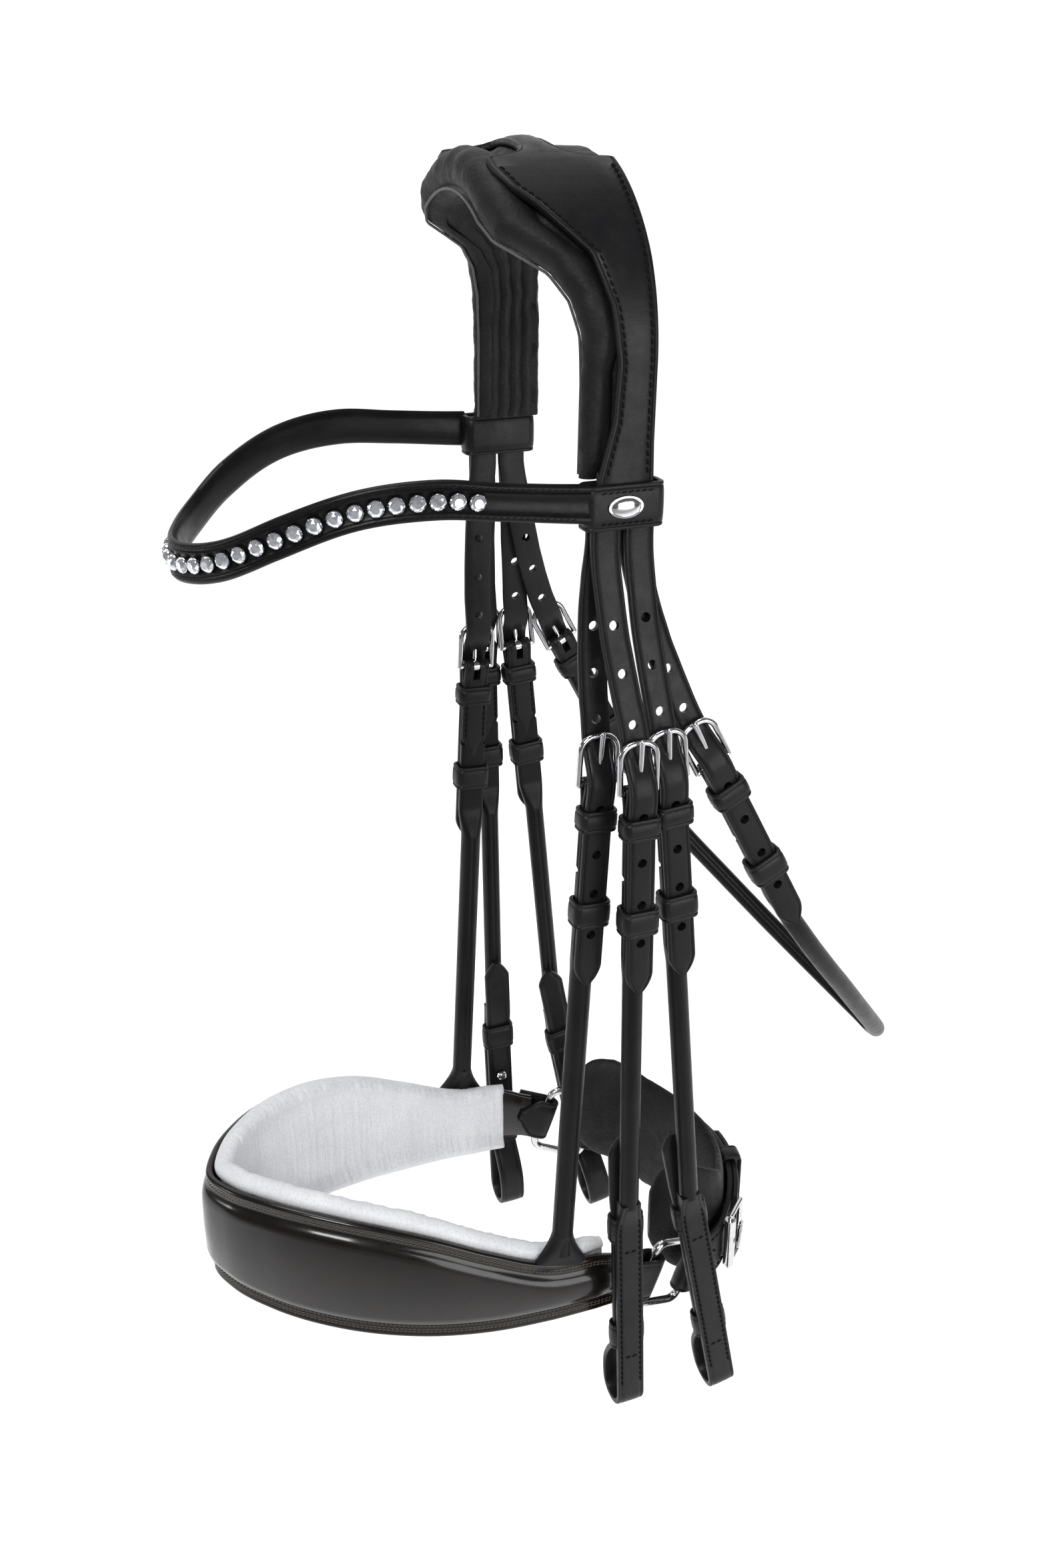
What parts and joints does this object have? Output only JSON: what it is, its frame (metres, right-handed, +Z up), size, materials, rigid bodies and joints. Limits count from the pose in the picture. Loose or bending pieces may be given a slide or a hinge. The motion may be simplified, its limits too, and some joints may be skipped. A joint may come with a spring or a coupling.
{
  "type": "double bridle",
  "caption": "Padded double bridle with curved crystal browband, paired rolled cheekpieces, rolled throatlatch and wide padded crank noseband.",
  "frame": {"origin": "middle of the poll seat, on the inner face of the padded crown", "axes": "+Z up along the hanging straps; the horse faces -Y, so the browband and the noseband's front are at -Y; +X is the horse's left, the near side"},
  "size_m": [0.1862, 0.3409, 0.5461],
  "materials": {
    "leather": "satin",
    "nappa": "soft grained",
    "patent": "gloss",
    "white_padding": "soft wrinkled",
    "metal": "polished",
    "crystal": "faceted"
  },
  "bodies": {
    "crown": {"crown_pad": "nappa", "headpiece": "leather", "under_strap_left": "leather", "under_strap_right": "leather", "cheek_buckles": "metal"},
    "browband": {"browband": "leather", "crystal_cups": "metal", "crystals": "crystal", "loop_stud": "metal"},
    "noseband": {"noseband_buckles": "metal", "noseband_hanger_left": "leather", "noseband_hanger_right": "leather", "noseband_strap_end_left": "leather", "noseband_strap_end_right": "leather", "noseband_leather": "patent", "noseband_padding": "white_padding"},
    "throatlatch": {"throat_buckles": "metal", "throatlatch": "leather", "throat_strap_end_left": "leather", "throat_strap_end_right": "leather"},
    "chin_strap": {"noseband_rings": "metal", "chin_strap": "leather", "chin_strap_end": "leather", "chin_keeper": "leather", "crank_buckle": "metal"},
    "chin_pad": {"chin_pad": "nappa"},
    "crank_roller": {"crank_roller": "metal"},
    "crank_tongue": {"crank_tongue": "metal"},
    "noseband_tongue_left": {"noseband_tongue_left": "metal"},
    "noseband_runner_left": {"noseband_runner_left": "leather"},
    "front_cheek_tongue_left": {"front_cheek_tongue_left": "metal"},
    "front_cheek_left": {"front_cheek_strap_left": "leather", "front_cheek_strap_end_left": "leather", "front_cheek_billet_left": "leather", "front_cheek_stud_left": "metal"},
    "front_cheek_runner_left": {"front_cheek_runner_left": "leather"},
    "rear_cheek_tongue_left": {"rear_cheek_tongue_left": "metal"},
    "rear_cheek_left": {"rear_cheek_strap_left": "leather", "rear_cheek_strap_end_left": "leather", "rear_cheek_billet_left": "leather", "rear_cheek_stud_left": "metal"},
    "rear_cheek_runner_left": {"rear_cheek_runner_left": "leather"},
    "throat_tongue_left": {"throat_tongue_left": "metal"},
    "throat_runner_left": {"throat_runner_left": "leather"},
    "noseband_tongue_right": {"noseband_tongue_right": "metal"},
    "noseband_runner_right": {"noseband_runner_right": "leather"},
    "front_cheek_tongue_right": {"front_cheek_tongue_right": "metal"},
    "front_cheek_right": {"front_cheek_strap_right": "leather", "front_cheek_strap_end_right": "leather", "front_cheek_billet_right": "leather", "front_cheek_stud_right": "metal"},
    "front_cheek_runner_right": {"front_cheek_runner_right": "leather"},
    "rear_cheek_tongue_right": {"rear_cheek_tongue_right": "metal"},
    "rear_cheek_right": {"rear_cheek_strap_right": "leather", "rear_cheek_strap_end_right": "leather", "rear_cheek_billet_right": "leather", "rear_cheek_stud_right": "metal"},
    "rear_cheek_runner_right": {"rear_cheek_runner_right": "leather"},
    "throat_tongue_right": {"throat_tongue_right": "metal"},
    "throat_runner_right": {"throat_runner_right": "leather"}
  },
  "joints": [
    {"name": "browband_slide", "type": "slide", "parent": "crown", "child": "browband", "axis": [0, 0, 1], "range_m": [-0.006, 0]},
    {"name": "noseband_swing", "type": "hinge", "parent": "crown", "child": "noseband", "pos_m": [0, 0.0035, -0.19], "axis": [1, 0, 0], "range_deg": [-3, 3]},
    {"name": "throatlatch_swing", "type": "hinge", "parent": "crown", "child": "throatlatch", "pos_m": [0, 0.0415, -0.187], "axis": [1, 0, 0], "range_deg": [-8, 8]},
    {"name": "noseband_tongue_left", "type": "hinge", "parent": "noseband", "child": "noseband_tongue_left", "pos_m": [0.07, 0.0035, -0.209], "axis": [0, 0.9987, -0.0506], "range_deg": [0, 4]},
    {"name": "noseband_runner_left", "type": "slide", "parent": "noseband", "child": "noseband_runner_left", "axis": [0, 0.0506, 0.9987], "range_m": [-0.008, 0.015]},
    {"name": "front_cheek_tongue_left", "type": "hinge", "parent": "crown", "child": "front_cheek_tongue_left", "pos_m": [0.0865, 0.0135, -0.207], "axis": [0, 0.9999, 0.014], "range_deg": [0, 4]},
    {"name": "front_cheek_swing_left", "type": "hinge", "parent": "crown", "child": "front_cheek_left", "pos_m": [0.0865, 0.0135, -0.207], "axis": [0, -0.9999, -0.014], "range_deg": [0, 8]},
    {"name": "front_cheek_runner_left", "type": "slide", "parent": "front_cheek_left", "child": "front_cheek_runner_left", "axis": [0, -0.014, 0.9999], "range_m": [-0.008, 0.015]},
    {"name": "rear_cheek_tongue_left", "type": "hinge", "parent": "crown", "child": "rear_cheek_tongue_left", "pos_m": [0.0818, 0.0284, -0.206], "axis": [0, 0.9957, 0.0924], "range_deg": [0, 4]},
    {"name": "rear_cheek_swing_left", "type": "hinge", "parent": "crown", "child": "rear_cheek_left", "pos_m": [0.0818, 0.0284, -0.206], "axis": [0, -0.9957, -0.0924], "range_deg": [0, 8]},
    {"name": "rear_cheek_runner_left", "type": "slide", "parent": "rear_cheek_left", "child": "rear_cheek_runner_left", "axis": [0, -0.0924, 0.9957], "range_m": [-0.008, 0.015]},
    {"name": "throat_tongue_left", "type": "hinge", "parent": "throatlatch", "child": "throat_tongue_left", "pos_m": [0.078, 0.049, -0.2045], "axis": [0, 0.8829, 0.4695], "range_deg": [0, 4]},
    {"name": "throat_runner_left", "type": "slide", "parent": "throatlatch", "child": "throat_runner_left", "axis": [0, -0.4695, 0.8829], "range_m": [-0.008, 0.015]},
    {"name": "noseband_tongue_right", "type": "hinge", "parent": "noseband", "child": "noseband_tongue_right", "pos_m": [-0.07, 0.0035, -0.209], "axis": [0, -0.9987, 0.0506], "range_deg": [0, 4]},
    {"name": "noseband_runner_right", "type": "slide", "parent": "noseband", "child": "noseband_runner_right", "axis": [0, 0.0506, 0.9987], "range_m": [-0.008, 0.015]},
    {"name": "front_cheek_tongue_right", "type": "hinge", "parent": "crown", "child": "front_cheek_tongue_right", "pos_m": [-0.0865, 0.0135, -0.207], "axis": [0, -0.9999, -0.014], "range_deg": [0, 4]},
    {"name": "front_cheek_swing_right", "type": "hinge", "parent": "crown", "child": "front_cheek_right", "pos_m": [-0.0865, 0.0135, -0.207], "axis": [0, 0.9999, 0.014], "range_deg": [0, 8]},
    {"name": "front_cheek_runner_right", "type": "slide", "parent": "front_cheek_right", "child": "front_cheek_runner_right", "axis": [0, -0.014, 0.9999], "range_m": [-0.008, 0.015]},
    {"name": "rear_cheek_tongue_right", "type": "hinge", "parent": "crown", "child": "rear_cheek_tongue_right", "pos_m": [-0.0818, 0.0284, -0.206], "axis": [0, -0.9957, -0.0924], "range_deg": [0, 4]},
    {"name": "rear_cheek_swing_right", "type": "hinge", "parent": "crown", "child": "rear_cheek_right", "pos_m": [-0.0818, 0.0284, -0.206], "axis": [0, 0.9957, 0.0924], "range_deg": [0, 8]},
    {"name": "rear_cheek_runner_right", "type": "slide", "parent": "rear_cheek_right", "child": "rear_cheek_runner_right", "axis": [0, -0.0924, 0.9957], "range_m": [-0.008, 0.015]},
    {"name": "throat_tongue_right", "type": "hinge", "parent": "throatlatch", "child": "throat_tongue_right", "pos_m": [-0.078, 0.049, -0.2045], "axis": [0, -0.8829, -0.4695], "range_deg": [0, 4]},
    {"name": "throat_runner_right", "type": "slide", "parent": "throatlatch", "child": "throat_runner_right", "axis": [0, -0.4695, 0.8829], "range_m": [-0.008, 0.015]},
    {"name": "chin_strap_swing", "type": "hinge", "parent": "noseband", "child": "chin_strap", "pos_m": [0, 0.0353, -0.462], "axis": [1, 0, 0], "range_deg": [0, 5]},
    {"name": "chin_pad_shift", "type": "hinge", "parent": "chin_strap", "child": "chin_pad", "pos_m": [0, 0.03, -0.465], "axis": [0, 0, 1], "range_deg": [-2, 2]},
    {"name": "crank_roller_spin", "type": "hinge", "parent": "chin_strap", "child": "crank_roller", "pos_m": [0.0551, 0.0832, -0.465], "axis": [0, 0, 1], "continuous": true},
    {"name": "crank_tongue_turn", "type": "hinge", "parent": "chin_strap", "child": "crank_tongue", "pos_m": [0.04537, 0.09327, -0.465], "axis": [0, 0, 1], "range_deg": [0, 25]}
  ]
}
